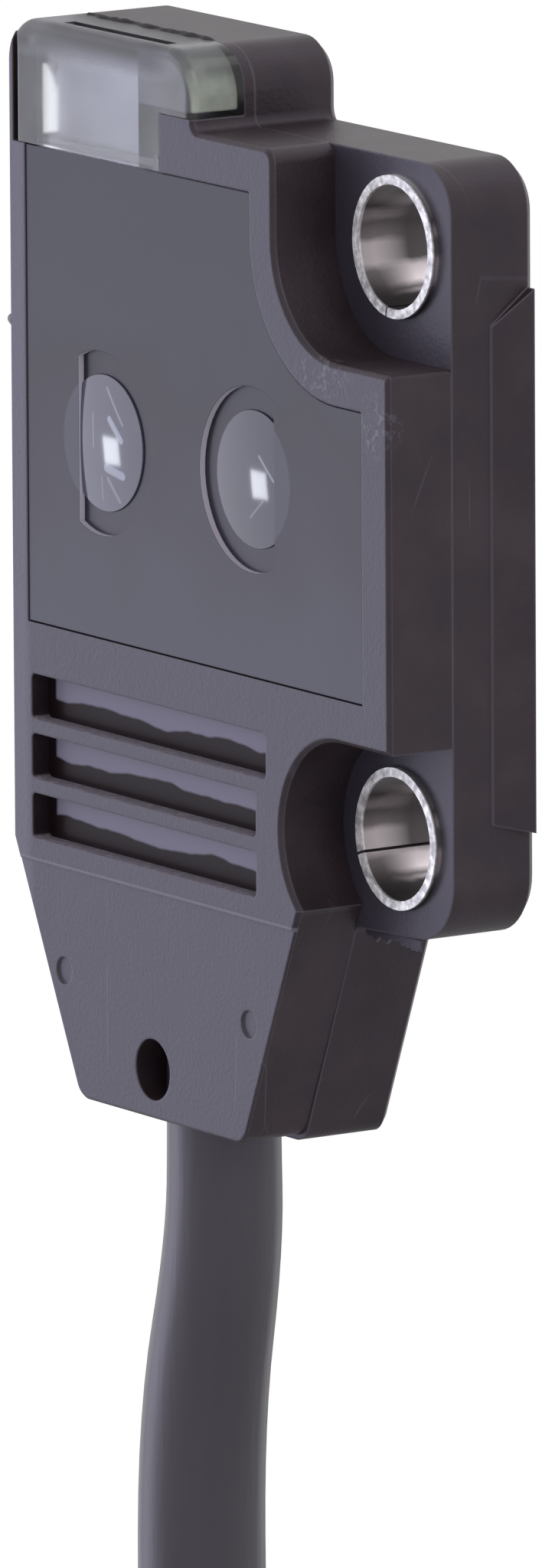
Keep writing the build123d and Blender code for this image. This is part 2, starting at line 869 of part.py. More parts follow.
cable_run = tube(cable_route, cable_d)
with BuildPart() as cable:
    with BuildSketch(Plane.XY.offset(cable_route[0][2])):
        with Locations((cable_x, cable_y)):
            Circle(neck_d / 2)
    extrude(amount=foot_z - cable_route[0][2])
    add(cable_run.part)
    add(cable_hank.part, mode=Mode.SUBTRACT)
cable.part.label = "cable"

# A tie round each side of the hank
ties = []
for name, side in (("left_hank_tie", -1), ("right_hank_tie", 1)):
    with BuildPart() as tie:
        with BuildSketch(Plane.XY.offset(hank_z - tie_width / 2)):
            with Locations((hank_x + side * hank_middle, hank_thickness / 2 - hank_front)):
                Rectangle(hank_build + 2 * tie_thickness, hank_thickness + 2 * tie_thickness)
                Rectangle(hank_build, hank_thickness, mode=Mode.SUBTRACT)
        extrude(amount=tie_width)
    tie.part.label = name
    ties.append(tie)

# Free end of the cable, with its three wires bared at the tips
tail_x = hank_x - hank_outside + cable_d / 2
tail_y = -hank_front + hank_thickness - cable_d / 2
tail_top = hank_z - hank_run / 2 - hank_inside
tail_end = hank_z - hank_run / 2 - hank_outside - tail_length
tail_route = [
    (tail_x, tail_y, tail_top),
    (tail_x + tail_sway, tail_y, (tail_top + tail_end) / 2),
    (tail_x - tail_lean, tail_y - tail_sway, tail_end),
]
tail_run = tube(tail_route, cable_d)
with BuildPart() as cable_tail:
    add(tail_run.part)
    add(cable_hank.part, mode=Mode.SUBTRACT)
cable_tail.part.label = "cable_tail"

wire_ring = 0.55
wire_gap = 0.1
wire_fan = 2.6
wire_bulge = 0.5
wire_bulge_share = 0.46
wire_angles = (150, 270, 30)
free_wires = []
wire_ends = []
for colour, angle in zip(wire_names, wire_angles):
    across = cos(radians(angle))
    behind = sin(radians(angle))
    wire_x = tail_route[-1][0] + wire_ring * across
    wire_back = tail_route[-1][1] + wire_ring * behind
    wire_top = tail_end - wire_gap
    wire_route = [
        (wire_x, wire_back, wire_top),
        (
            wire_x + wire_bulge * across,
            wire_back + wire_bulge * behind,
            wire_top - wire_bulge_share * wire_length,
        ),
        (wire_x + wire_fan * across, wire_back + wire_fan * behind, wire_top - wire_length),
    ]
    wire_ends.append(wire_route[-1])
    free_wire = tube(wire_route, wire_d)
    free_wire.part.label = colour + "_free_wire"
    free_wires.append(free_wire)

with BuildPart() as tinned_ends:
    for x, y, z in wire_ends:
        with BuildSketch(Plane.XY.offset(z - wire_gap)):
            with Locations((x, y)):
                Circle(bare_d / 2)
        extrude(amount=-bare_length)
tinned_ends.part.label = "tinned_ends"

for piece in (
    rear_shell, front_shell, indicator_cap, optical_window, *lenses, upper_sleeve, lower_sleeve,
    circuit_board, light_barrier, emitter_led, receiver_diode, control_chip, output_driver,
    chip_capacitors, chip_resistors, *indicators, indicator_tray, *inner_wires, solder_joints,
    potting, cord_grip, cable, cable_hank, *ties, cable_tail, *free_wires, tinned_ends,
):
    export_step(piece.part, "parts/" + piece.part.label + ".step")
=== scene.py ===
import random
from math import cos, pi, radians, sin

import bpy
from mathutils import Matrix, Vector


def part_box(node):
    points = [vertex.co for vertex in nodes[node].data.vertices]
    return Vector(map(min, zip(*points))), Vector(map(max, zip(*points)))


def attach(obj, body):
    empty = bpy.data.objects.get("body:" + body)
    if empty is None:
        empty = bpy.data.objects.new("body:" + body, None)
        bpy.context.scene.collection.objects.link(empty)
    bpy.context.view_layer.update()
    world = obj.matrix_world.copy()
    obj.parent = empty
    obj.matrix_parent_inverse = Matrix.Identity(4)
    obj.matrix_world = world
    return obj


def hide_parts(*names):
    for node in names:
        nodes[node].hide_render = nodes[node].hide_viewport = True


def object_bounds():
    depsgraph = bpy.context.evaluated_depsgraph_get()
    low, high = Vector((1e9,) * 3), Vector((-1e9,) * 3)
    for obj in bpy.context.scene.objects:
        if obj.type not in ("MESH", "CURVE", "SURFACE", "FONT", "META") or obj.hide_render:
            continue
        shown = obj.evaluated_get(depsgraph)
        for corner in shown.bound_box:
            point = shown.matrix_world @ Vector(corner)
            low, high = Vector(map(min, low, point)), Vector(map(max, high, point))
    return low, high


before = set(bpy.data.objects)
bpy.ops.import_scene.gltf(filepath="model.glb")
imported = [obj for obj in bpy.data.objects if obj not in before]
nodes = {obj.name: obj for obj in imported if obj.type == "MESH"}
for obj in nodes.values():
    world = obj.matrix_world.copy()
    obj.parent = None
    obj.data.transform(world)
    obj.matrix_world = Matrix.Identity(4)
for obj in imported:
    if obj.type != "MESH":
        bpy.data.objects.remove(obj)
cad_low, cad_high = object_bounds()
mm = 0.001

# Camera: a long lens, a little above the sensor and turned well to its right, so that the lens side
# is foreshortened and the right side shows most of its depth. The sight point on the sensor is seen
# at sight_across and sight_down, in pixels from the picture's top left corner.
image_width, image_height = 708, 2048
sight_point = Vector((-6.9, -2.45, 1.0)) * mm
sight_across, sight_down = 346.2, 615.0
sight_azimuth, sight_elevation, sight_roll = radians(56.637), radians(9.377), radians(-0.328)
sight_distance = 550 * mm
pixels_per_metre = 48484
film_height = 24


def direction(azimuth, elevation):
    """Unit vector that points from the sensor to an azimuth and an elevation."""
    return Vector((sin(azimuth) * cos(elevation), -cos(azimuth) * cos(elevation), sin(elevation)))


towards_camera = direction(sight_azimuth, sight_elevation)
level_right = Vector((cos(sight_azimuth), sin(sight_azimuth), 0))
level_up = towards_camera.cross(level_right)
picture_right = cos(sight_roll) * level_right + sin(sight_roll) * level_up
picture_up = cos(sight_roll) * level_up - sin(sight_roll) * level_right
centre_right = (image_width / 2 - sight_across) / pixels_per_metre
centre_down = (image_height / 2 - sight_down) / pixels_per_metre
picture_centre = sight_point + centre_right * picture_right - centre_down * picture_up
camera_place = sight_point + sight_distance * towards_camera
camera_z = (camera_place - picture_centre).normalized()
camera_x = picture_up.cross(camera_z).normalized()
camera_y = camera_z.cross(camera_x)

camera = bpy.data.objects.new("camera", bpy.data.cameras.new("camera"))
bpy.context.scene.collection.objects.link(camera)
camera.matrix_world = Matrix((
    (camera_x.x, camera_y.x, camera_z.x, camera_place.x),
    (camera_x.y, camera_y.y, camera_z.y, camera_place.y),
    (camera_x.z, camera_y.z, camera_z.z, camera_place.z),
    (0, 0, 0, 1),
))
camera.data.sensor_width = film_height
camera.data.lens = film_height * pixels_per_metre * sight_distance / image_height
camera.data.clip_start = 0.05
camera.data.clip_end = 20
bpy.context.scene.camera = camera
bpy.context.scene.view_settings.view_transform = "Standard"

# Studio: a pale round floor under the cable's end, a white surround that camera, gloss and glass
# see, and soft boxes. The large one stands where the lens side mirrors it to the camera, and the
# small window in it is what the polished lenses show as a bright square.
floor_radius = 0.45
floor_gap = 0.5 * mm
floor_tones = (0.84, 0.84, 0.85), (0.88, 0.88, 0.89)
fill_strength, seen_strength = 0.5, 1.0


def fill(node, inputs):
    """Sets a node's sockets: a constant on the socket itself, an output by a link."""
    for socket, value in inputs.items():
        if isinstance(value, bpy.types.NodeSocket):
            node.id_data.links.new(value, node.inputs[socket])
        else:
            node.inputs[socket].default_value = value


def add_node(tree, kind, inputs=None, **settings):
    """Adds a node to a tree, with its settings and what goes into its sockets."""
    added = tree.nodes.new(kind)
    for name, value in settings.items():
        setattr(added, name, value)
    fill(added, inputs or {})
    return added


def start_material(name):
    """New node material with its shader, and the object coordinates that its patterns follow."""
    made = bpy.data.materials.new(name)
    made.use_nodes = True
    tree = made.node_tree
    place = add_node(tree, "ShaderNodeTexCoord").outputs["Object"]
    return made, tree, tree.nodes["Principled BSDF"], place


def set_shader(shader, **values):
    """Sets a shader's own sockets, named with underscores for spaces."""
    fill(shader, {name.replace("_", " "): value for name, value in values.items()})


def noise(tree, place, scale, detail=2.0, distortion=0.0):
    """Cloudy value that varies with the place."""
    return add_node(tree, "ShaderNodeTexNoise", {
        "Vector": place, "Scale": scale, "Detail": detail, "Distortion": distortion,
    }).outputs["Fac"]


def shades(tree, value, *stops):
    """Colour that passes through its stops, each a position and a colour, as a value rises."""
    ramp = add_node(tree, "ShaderNodeValToRGB", {"Fac": value})
    elements = ramp.color_ramp.elements
    for position, colour in stops[1:-1]:
        elements.new(position).color = (*colour, 1)
    for end in (0, -1):
        elements[end].position = stops[end][0]
        elements[end].color = (*stops[end][1], 1)
    return ramp.outputs["Color"]


def compute(tree, operation, *values, **settings):
    """Result of a math node; each value is a constant or an output."""
    return add_node(
        tree, "ShaderNodeMath", dict(enumerate(values)), operation=operation, **settings,
    ).outputs[0]


def step_up(tree, value, low, high, start=0.0, end=1.0):
    """Goes from start to end while a value goes from low to high, and holds beyond them."""
    return add_node(tree, "ShaderNodeMapRange", {
        "Value": value, "From Min": low, "From Max": high, "To Min": start, "To Max": end,
    }).outputs["Result"]


def soft_box(name, azimuth, elevation, distance, across, along, radiance, colour):
    """Area lamp turned to the sensor. Its power gives the radiance that it is seen with."""
    lamp = bpy.data.lights.new(name, "AREA")
    lamp.shape = "RECTANGLE"
    lamp.size = across
    lamp.size_y = along
    lamp.energy = radiance * pi * across * along
    lamp.color = colour
    holder = bpy.data.objects.new(name, lamp)
    bpy.context.scene.collection.objects.link(holder)
    out = direction(radians(azimuth), radians(elevation))
    turn = out.to_track_quat("Z", "Y").to_matrix().to_4x4()
    holder.matrix_world = Matrix.Translation(sight_point + distance * out) @ turn


floor_paint, tree, shader, place = start_material("floor_paint")
floor_tone = shades(tree, noise(tree, place, 9.0), (0.0, floor_tones[0]), (1.0, floor_tones[1]))
set_shader(shader, Base_Color=floor_tone, Roughness=0.9)
bpy.ops.mesh.primitive_circle_add(
    vertices=96, radius=floor_radius, fill_type="NGON", location=(0, 0, cad_low.z - floor_gap),
)
floor = bpy.context.object
floor.name = "floor"
floor.data.materials.append(floor_paint)

surround = bpy.data.worlds.new("surround")
bpy.context.scene.world = surround
surround.use_nodes = True
tree = surround.node_tree
rays = add_node(tree, "ShaderNodeLightPath").outputs
seen = compute(tree, "MAXIMUM", rays["Is Camera Ray"], rays["Is Transmission Ray"])
seen = compute(tree, "MAXIMUM", seen, rays["Is Glossy Ray"])
strength = step_up(tree, seen, 0.0, 1.0, fill_strength, seen_strength)
fill(tree.nodes["Background"], {"Color": (1, 1, 1, 1), "Strength": strength})

# Each soft box: azimuth and elevation in degrees, distance, width and height, radiance and colour.
soft_box("lens_side_box", -56, 4, 0.62, 0.62, 0.62, 1.3, (0.80, 0.80, 1.0))
soft_box("small_window", -54.3, -9.8, 0.60, 0.050, 0.030, 9.0, (0.88, 0.92, 1.0))
soft_box("right_box", 78, 40, 0.62, 0.42, 0.42, 1.5, (1.0, 0.92, 0.92))
soft_box("top_box", 150, 68, 0.62, 0.40, 0.40, 0.75, (1.0, 0.98, 1.0))

# Cable: soft black PVC jacket, extruded, so that its surface is matt with faint lengthwise streaks.
# It leaves the housing through a narrower neck, hangs, and the rest of its two metres is a hank.
cable_d = 3.4 * mm
neck_d = 3.1 * mm
neck_share = neck_d / cable_d
cable_x, cable_y = -8.8 * mm, -2.65 * mm
hank_low, hank_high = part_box("cable_hank")
tail_low, tail_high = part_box("cable_tail")
bend_r = 3.0 * cable_d
rounds = 3
hank_x = (hank_low.x + hank_high.x) / 2
hank_z = (hank_low.z + hank_high.z) / 2
outer_r = bend_r + (rounds - 1) * cable_d
half_run = (hank_high.z - hank_low.z) / 2 - outer_r - cable_d / 2
first_layer = hank_low.y + cable_d / 2
neck_points = [
    (cable_x, cable_y, -12.5 * mm),
    (cable_x, cable_y, -17.3 * mm),
    (cable_x, cable_y, -20.5 * mm),
    (-9.66 * mm, -2.9 * mm, -25.5 * mm),
    (-9.67 * mm, -2.9 * mm, -31.9 * mm),
]
neck_widths = (neck_share, neck_share, 0.95, 1.02, 1.04, 1.02)
entry_points = [
    (hank_x, first_layer, hank_high.z + 1.0 * mm),
    (hank_x - 0.4 * mm, first_layer, hank_high.z - 8.0 * mm),
    (hank_x - 0.30 * outer_r, first_layer, hank_high.z - 17.0 * mm),
    (hank_x - 0.72 * outer_r, first_layer, hank_z + 0.42 * half_run),
    (hank_x - 0.96 * outer_r, first_layer, hank_z - 0.1 * half_run),
    (hank_x - outer_r, first_layer, hank_z - 0.6 * half_run),
]
tail_points = [
    (-26.22 * mm, 10.7 * mm, (tail_high.z + tail_low.z) / 2),
    (-26.92 * mm, 10.4 * mm, tail_low.z),
]
cool_tint = (0.86, 0.84, 1.0, 1)
jacket_tones = (0.019, 0.014, 0.018), (0.034, 0.028, 0.034)

# The turns at which the cable starts to move to the next layer, or a round in (-1) or out (1).
layer_moves = (0.45, 3.25, 6.05, 8.85)
round_moves = (
    (1.35, -1), (2.35, -1), (4.15, 1), (5.15, 1),
    (6.95, -1), (7.95, -1), (9.75, 1), (10.75, 1),
)
move_length = 0.1
turn_count = 11
stations_a_turn = 28


def eased(value):
    """Smooth step from 0 to 1."""
    held = min(1.0, max(0.0, value))
    return held * held * (3 - 2 * held)


def round_the_hank(share, radius):
    """Point on a turn: from the lower left by the bottom, the right side, the top and the left."""
    part, along = divmod((share % 1.0) * 4, 1.0)
    if part == 0:
        angle = pi + pi * along
        return radius * cos(angle), radius * sin(angle) - half_run
    if part == 1:
        return radius, half_run * (2 * along - 1)
    if part == 2:
        angle = pi * along
        return radius * cos(angle), radius * sin(angle) + half_run
    return -radius, half_run * (1 - 2 * along)


def cord_curve(name, points, diameter, widths=()):
    """Round cord on one smooth NURBS line through its control points."""
    data = bpy.data.curves.new(name, "CURVE")
    data.dimensions = "3D"
    data.bevel_depth = diameter / 2
    data.bevel_resolution = 5
    data.resolution_u = 6
    data.use_fill_caps = True
    line = data.splines.new("NURBS")
    line.points.add(len(points) - 1)
    for index, point in enumerate(points):
        line.points[index].co = (*point, 1)
        line.points[index].radius = widths[index] if index < len(widths) else 1.0
    line.order_u = 3
    line.use_endpoint_u = True
    cord = bpy.data.objects.new(name, data)
    bpy.context.scene.collection.objects.link(cord)
    return cord


def start_group(name, inputs, outputs):
    """New shader node group with named sockets; returns its tree and its two end nodes."""
    group = bpy.data.node_groups.new(name, "ShaderNodeTree")
    for socket, kind, value in inputs:
        made = group.interface.new_socket(socket, in_out="INPUT", socket_type=kind)
        if value is not None:
            made.default_value = value
    for socket, kind in outputs:
        group.interface.new_socket(socket, in_out="OUTPUT", socket_type=kind)
    return group, group.nodes.new("NodeGroupInput"), group.nodes.new("NodeGroupOutput")


def use_group(tree, group, **values):
    """Places a node group in a material, and returns its outputs."""
    return add_node(tree, "ShaderNodeGroup", values, node_tree=group).outputs


def stretched(tree, place, scale, rotation=(0.0, 0.0, 0.0)):
    """Place for a pattern that is drawn out along the axes whose scale is below 1."""
    return add_node(tree, "ShaderNodeMapping", {
        "Vector": place, "Scale": scale, "Rotation": rotation,
    }).outputs["Vector"]


def vector_math(tree, operation, *values):
    """Outputs of a vector math node: a Vector and a Value, whichever the operation gives."""
    return add_node(
        tree, "ShaderNodeVectorMath", dict(enumerate(values)), operation=operation,
    ).outputs


def bump(tree, height, strength, distance, normal=None):
    """Normal of a fine relief, laid over another normal where one is given."""
    inputs = {"Height": height, "Strength": strength, "Distance": distance}
    if normal is not None:
        inputs["Normal"] = normal
    return add_node(tree, "ShaderNodeBump", inputs).outputs["Normal"]


# The control points of a bend stand a little outside the line that the cable takes through it.
bend_spread = 1 / cos(2 * pi / stations_a_turn)
hank_points = []
for index in range(turn_count * stations_a_turn + 1):
    share = index / stations_a_turn
    layer = sum(eased((share - start) / move_length) for start in layer_moves)
    outward = sum(step * eased((share - start) / move_length) for start, step in round_moves)
    radius = outer_r + outward * cable_d
    in_bend = int(share % 1.0 * 4) in (0, 2)
    across, up = round_the_hank(share, radius * (bend_spread if in_bend else 1))
    hank_points.append((hank_x + across, first_layer + layer * cable_d, hank_z + up))

# Grain of the mouldings and jackets: a fine relief with a broad mottle, and a mask of the edges.
grain_group, grain_in, grain_out = start_group(
    "moulded_grain",
    [
        ("Place", "NodeSocketVector", None),
        ("Fineness", "NodeSocketFloat", 9000.0),
        ("Depth", "NodeSocketFloat", 0.15),
        ("Rounding", "NodeSocketFloat", 0.08 * mm),
    ],
    [("Mottle", "NodeSocketFloat"), ("Edge", "NodeSocketFloat"), ("Normal", "NodeSocketVector")],
)
grain_place = grain_in.outputs["Place"]
fine = noise(grain_group, grain_place, grain_in.outputs["Fineness"], 3.0)
broad = noise(grain_group, grain_place, 520.0, 4.0)
rounded = add_node(
    grain_group, "ShaderNodeBevel", {"Radius": grain_in.outputs["Rounding"]}, samples=6,
).outputs["Normal"]
flat_face = add_node(grain_group, "ShaderNodeNewGeometry").outputs["Normal"]
unbent = vector_math(grain_group, "DOT_PRODUCT", rounded, flat_face)["Value"]
relief = compute(grain_group, "ADD", fine, broad)
fill(grain_out, {
    "Mottle": broad,
    "Edge": step_up(grain_group, unbent, 0.985, 0.80),
    "Normal": bump(grain_group, relief, grain_in.outputs["Depth"], 0.04 * mm, rounded),
})

jacket, tree, shader, place = start_material("cable_jacket")
grain = use_group(
    tree, grain_group,
    Place=stretched(tree, place, (1.0, 1.0, 0.12)), Fineness=5200.0, Depth=0.25, Rounding=0.02 * mm,
)
set_shader(
    shader,
    Base_Color=shades(tree, grain["Mottle"], (0.35, jacket_tones[0]), (0.7, jacket_tones[1])),
    Normal=grain["Normal"],
    Roughness=0.42,
    Specular_IOR_Level=0.75,
    Specular_Tint=cool_tint,
)

cable_points = neck_points + entry_points + hank_points + tail_points
cable_line = cord_curve("cable_line", cable_points, cable_d, neck_widths)
cable_line.data.materials.append(jacket)
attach(cable_line, "root")
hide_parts("cable", "cable_hank", "cable_tail")

# Free wires: three thin insulated wires out of the jacket's end, fanned a little apart. Each is
# PVC of its own colour, extruded over its strands, smooth and a little glossy.
wire_d = 0.95 * mm
wire_length = 35.0 * mm
wire_ring = 0.55 * mm
wire_bulge = 0.5 * mm
wire_bend = 0.46 * wire_length
wire_fan = 2.6 * mm
wires = {
    "brown": (150, (0.105, 0.042, 0.020), (0.150, 0.062, 0.030)),
    "black": (270, (0.014, 0.013, 0.015), (0.028, 0.027, 0.030)),
    "blue": (30, (0.018, 0.062, 0.250), (0.030, 0.090, 0.330)),
}
wire_skins = {}
for colour, (angle, dark, pale) in wires.items():
    skin, tree, shader, place = start_material(colour + "_wire_skin")
    streak = noise(tree, stretched(tree, place, (1.0, 1.0, 0.1)), 2600.0, 3.0)
    set_shader(
        shader,
        Base_Color=shades(tree, streak, (0.35, dark), (0.65, pale)),
        Normal=bump(tree, streak, 0.2, 0.03 * mm),
        Roughness=0.34,
    )
    wire_skins[colour] = skin

    across, behind = cos(radians(angle)), sin(radians(angle))
    wire_x = tail_points[-1][0] + wire_ring * across
    wire_y = tail_points[-1][1] + wire_ring * behind
    wire_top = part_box(colour + "_free_wire")[1].z
    route = [
        (wire_x, wire_y, wire_top),
        (wire_x + wire_bulge * across, wire_y + wire_bulge * behind, wire_top - wire_bend),
        (wire_x + wire_fan * across, wire_y + wire_fan * behind, wire_top - wire_length),
    ]
    wire = cord_curve(colour + "_lead", route, wire_d)
    wire.data.materials.append(skin)
    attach(wire, "root")
    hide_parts(colour + "_free_wire")

# Housing: two moulded halves of black glass-filled plastic, closed along a line at half depth. The
# skin is fine matt grain, with a painted cool sheen on the faces turned to the front, stronger on
# the left border. Its edges are paler: partly rubbed wear, partly a painted highlight. Painted
# light lies on the slots' floors and a painted highlight along the crease. It has specks, scuffs,
# and chewed patches by the clear cap and on the right border.
block_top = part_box("rear_shell")[1].z
housing_tones = (0.017, 0.010, 0.012), (0.033, 0.021, 0.025)
front_turn = (-0.7, -0.95)
# Painted cool sheen on faces turned to the front, stronger from the ears' ledges to the lens side.
sheen_depth = (-2.8 * mm, -4.6 * mm)
sheen_share = (0.66, 0.8)
painted_sheen_tone = (0.052, 0.048, 0.072)
# Stronger painted sheen on the front of the left border.
border_sheen_x = (-15.0 * mm, -15.4 * mm)
border_sheen_share = 0.8
border_sheen_tone = (0.115, 0.100, 0.145)
# Paler edges: partly rubbed wear, partly a painted highlight.
rubbed_and_highlight_tone = (0.130, 0.120, 0.145)
# Painted light on the slots' upward-facing floors, broken by crumbs.
slot_floor_turn = (0.5, 0.9)
slots_z, slots_half_height, slots_fade = -8.4 * mm, 1.9 * mm, 0.1 * mm
slot_floor_x = (-3.3 * mm, -3.6 * mm)
slot_floor_y = (-4.1 * mm, -4.2 * mm)
slot_floor_share = (0.7, 1.0)
slot_floor_light_tone = (0.34, 0.31, 0.37)
chewed_places = (
    ((-10.1 * mm, -4.75 * mm, 9.35 * mm), (1.7 * mm, 0.9 * mm, 0.8 * mm)),
    ((1.9 * mm, -4.75 * mm, 3.6 * mm), (0.8 * mm, 0.9 * mm, 1.0 * mm)),
    ((-0.6 * mm, -4.75 * mm, 4.6 * mm), (1.5 * mm, 0.9 * mm, 0.6 * mm)),
)
chewed_share = 0.7
chewed_tone = (0.15, 0.145, 0.185)
# Painted highlight: a pale line along the crease on the front.
crease_z, crease_half_height, crease_fade = -10.62 * mm, 0.03 * mm, 0.05 * mm
crease_y = (-4.6 * mm, -4.65 * mm)
crease_share = 0.5
scuff_share = 0.16
mark_and_highlight_tone = (0.22, 0.21, 0.25)


def paint(name, finish):
    """Gives a CAD node its finish in every material slot."""
    piece = nodes[name]
    if not piece.data.materials:
        piece.data.materials.append(finish)
    for index in range(len(piece.data.materials)):
        piece.data.materials[index] = finish


def axes_of(tree, vector):
    """The X, Y and Z of a vector."""
    return add_node(tree, "ShaderNodeSeparateXYZ", {"Vector": vector}).outputs


def facing_of(tree):
    """The X, Y and Z of the direction that the surface faces."""
    return axes_of(tree, add_node(tree, "ShaderNodeNewGeometry").outputs["Normal"])


def blend(tree, mask, below, above):
    """Mix of two colours by a mask; each colour is a constant or an output."""
    mixed = add_node(tree, "ShaderNodeMix", {"Factor": mask}, data_type="RGBA")
    layers = {6: below, 7: above}
    fill(mixed, {
        socket: colour if isinstance(colour, bpy.types.NodeSocket) else (*colour, 1)
        for socket, colour in layers.items()
    })
    return mixed.outputs[2]


def overlap(tree, mask, *others):
    """Product of masks: what lies in all of them. A number among them sets its strength."""
    for other in others:
        mask = compute(tree, "MULTIPLY", mask, other)
    return mask


def band(tree, value, centre, half_width, softness):
    """Mask that is 1 within half_width of centre and fades out over the softness."""
    away = compute(tree, "ABSOLUTE", compute(tree, "SUBTRACT", value, centre))
    return step_up(tree, away, half_width + softness, half_width)


def near(tree, place, centre, reach):
    """Soft mask round a centre, out to the reach given along each axis."""
    away = vector_math(tree, "SUBTRACT", place, centre)["Vector"]
    share = vector_math(tree, "DIVIDE", away, reach)["Vector"]
    return step_up(tree, vector_math(tree, "LENGTH", share)["Value"], 1.0, 0.55)


# Wear of the housing: pale specks, fine scratches in patches, and crumbs for the chewed places.
wear_group, wear_in, wear_out = start_group(
    "plastic_wear",
    [("Place", "NodeSocketVector", None)],
    [("Specks", "NodeSocketFloat"), ("Scuffs", "NodeSocketFloat"), ("Chewed", "NodeSocketFloat")],
)
wear_place = wear_in.outputs["Place"]
dots = add_node(wear_group, "ShaderNodeTexVoronoi", {"Vector": wear_place, "Scale": 330.0})
drawn = stretched(wear_group, wear_place, (1.0, 1.0, 0.3), (0.4, 0.7, 0.3))
cracks = add_node(
    wear_group, "ShaderNodeTexVoronoi", {"Vector": drawn, "Scale": 240.0}, feature="DISTANCE_TO_EDGE",
)
scratch = step_up(wear_group, cracks.outputs["Distance"], 0.006, 0.002)
scuffed = step_up(wear_group, noise(wear_group, wear_place, 330.0, 1.0), 0.60, 0.66)
crumbs = noise(wear_group, wear_place, 5200.0, 4.0, 0.4)
fill(wear_out, {
    "Specks": step_up(wear_group, dots.outputs["Distance"], 0.024, 0.010),
    "Scuffs": overlap(wear_group, scratch, scuffed),
    "Chewed": step_up(wear_group, crumbs, 0.50, 0.62),
})

housing, tree, shader, place = start_material("housing_plastic")
axes = axes_of(tree, place)
facing = facing_of(tree)
grain = use_group(tree, grain_group, Place=place, Fineness=8500.0, Depth=0.3, Rounding=0.09 * mm)
wear = use_group(tree, wear_group, Place=place)
front_skin = step_up(tree, facing["Y"], *front_turn)
sheen = step_up(tree, axes["Y"], *sheen_depth, *sheen_share)
border_sheen = step_up(tree, axes["X"], *border_sheen_x)
# Painted light on the slots' floors, broken by crumbs.
lit_slot_floor = overlap(
    tree,
    step_up(tree, facing["Z"], *slot_floor_turn),
    band(tree, axes["Z"], slots_z, slots_half_height, slots_fade),
    step_up(tree, axes["X"], *slot_floor_x),
    step_up(tree, axes["Y"], *slot_floor_y),
    step_up(tree, wear["Chewed"], 0.0, 0.6, *slot_floor_share),
)
chewed = 0.0
for centre, reach in chewed_places:
    chewed = compute(tree, "MAXIMUM", chewed, near(tree, place, centre, reach))
chewed = overlap(tree, chewed, wear["Chewed"])
# Painted highlight along the crease, which shares the specks' and scuffs' colour.
crease_highlight = band(tree, axes["Z"], crease_z, crease_half_height, crease_fade)
crease_highlight = overlap(tree, crease_highlight, step_up(tree, axes["Y"], *crease_y), crease_share)
marks_and_highlight = compute(tree, "MAXIMUM", wear["Specks"], overlap(tree, wear["Scuffs"], scuff_share))
marks_and_highlight = compute(tree, "MAXIMUM", marks_and_highlight, crease_highlight)
skin = shades(tree, grain["Mottle"], (0.35, housing_tones[0]), (0.7, housing_tones[1]))
# Painted sheen on the faces turned to the front.
skin = blend(tree, overlap(tree, front_skin, sheen), skin, painted_sheen_tone)
# Stronger painted sheen on the left border.
skin = blend(tree, overlap(tree, front_skin, border_sheen, border_sheen_share), skin, border_sheen_tone)
# Paler edges: partly rubbed wear, partly a painted highlight.
skin = blend(tree, grain["Edge"], skin, rubbed_and_highlight_tone)
skin = blend(tree, lit_slot_floor, skin, slot_floor_light_tone)
skin = blend(tree, overlap(tree, chewed, chewed_share), skin, chewed_tone)
set_shader(
    shader,
    Base_Color=blend(tree, marks_and_highlight, skin, mark_and_highlight_tone),
    Normal=bump(tree, chewed, 0.35, 0.03 * mm, grain["Normal"]),
    Roughness=0.45,
    Specular_IOR_Level=0.45,
    Specular_Tint=cool_tint,
)
for name in ("front_shell", "rear_shell"):
    paint(name, housing)

# Shadow bead: a thin dark cord laid along the gap behind the clear cap, a painted shadow of that
# gap, uneven along its run, which dips below the top of the housing at its right end.
bead_y = -2.93 * mm
bead_d = 0.24 * mm
bead_left, bead_right = -14.7 * mm, -8.95 * mm
bead_steps = 26
bead_sink = 0.04 * mm
bead_sway = 0.06
bead_swell = (0.75, 1.25)
gap_shadow_tones = (0.020, 0.016, 0.020), (0.050, 0.042, 0.052)
sway = random.Random(7)
bead_points = []
bead_widths = []
for index in range(bead_steps + 1):
    x = bead_left + (bead_right - bead_left) * index / bead_steps
    bead_points.append((x, bead_y + sway.uniform(-bead_sway, bead_sway) * mm, block_top - bead_sink))
    bead_widths.append(sway.uniform(*bead_swell))
bead_points += [
    (-8.6 * mm, bead_y, block_top - 0.08 * mm),
    (-8.15 * mm, bead_y, block_top - 0.30 * mm),
]
# Dark matt colour of the painted shadow in the gap.
gap_shadow_paint, tree, shader, place = start_material("gap_shadow_bead")
gap_shadow_tone = shades(tree, noise(tree, place, 3000.0), (0.0, gap_shadow_tones[0]), (1.0, gap_shadow_tones[1]))
set_shader(shader, Base_Color=gap_shadow_tone, Roughness=0.6, Specular_IOR_Level=0.2)
bead = cord_curve("gap_shadow_bead", bead_points, bead_d, bead_widths)
bead.data.materials.append(gap_shadow_paint)
bpy.ops.object.select_all(action="DESELECT")
bpy.context.view_layer.objects.active = bead
bead.select_set(True)
bpy.ops.object.convert(target="MESH")
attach(bpy.context.object, "root")

# Window: smoked plate pressed into the front half, dark slate with a soft gloss. It is thin enough
# for the lens discs behind it to show as paler ghosts. Its colour grows lighter towards the bottom
# along a wavy edge, a painted reflection of the lamp. Its side walls and edges are painted lighter,
# as painted light, and its lens recesses have bright lips, a painted highlight.
lens_boxes = {name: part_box(name) for name in ("emitter_lens", "receiver_lens")}
lens_centres = {name: (low + high) / 2 for name, (low, high) in lens_boxes.items()}
lens_r = (lens_boxes["emitter_lens"][1].x - lens_boxes["emitter_lens"][0].x) / 2
plate_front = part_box("optical_window")[0].y
